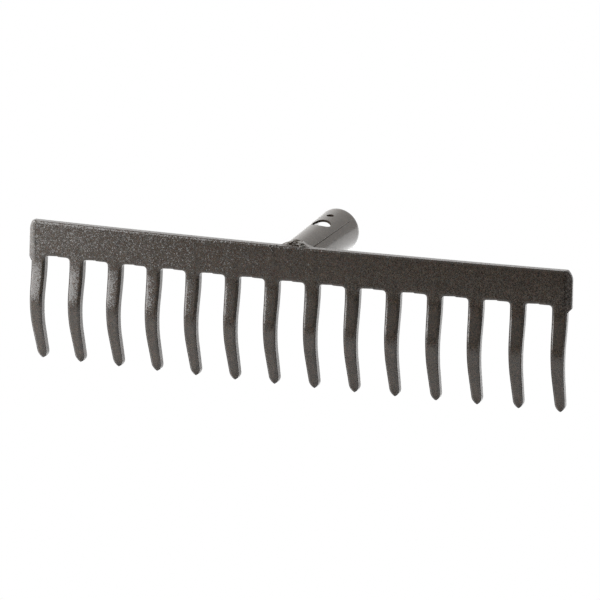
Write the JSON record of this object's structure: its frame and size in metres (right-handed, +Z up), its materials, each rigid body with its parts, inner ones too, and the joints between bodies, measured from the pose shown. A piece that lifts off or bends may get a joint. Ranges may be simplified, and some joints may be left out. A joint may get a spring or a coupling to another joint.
{
  "type": "garden rake head",
  "caption": "Level steel garden rake head: a toothed bar with curved teeth and a short round handle socket welded to its middle.",
  "frame": {"origin": "on the ground plane at the tooth tips, below the middle of the head's bounding box", "axes": "+X along the toothed bar, +Y back along the handle socket and out of its mouth, +Z up"},
  "size_m": [0.4058, 0.0986, 0.107],
  "materials": {
    "grained_paint": "dark bronze paint with a fine metallic grain, semi-gloss",
    "smooth_paint": "the same dark bronze paint, smoother and glossier on the tube",
    "painted_weld": "weld metal under the same paint, glossy where it pools"
  },
  "bodies": {
    "root": {"toothed_bar": "grained_paint", "handle_socket": "smooth_paint", "upper_weld_run": "painted_weld", "left_weld_run": "painted_weld", "right_weld_run": "painted_weld"}
  },
  "joints": []
}
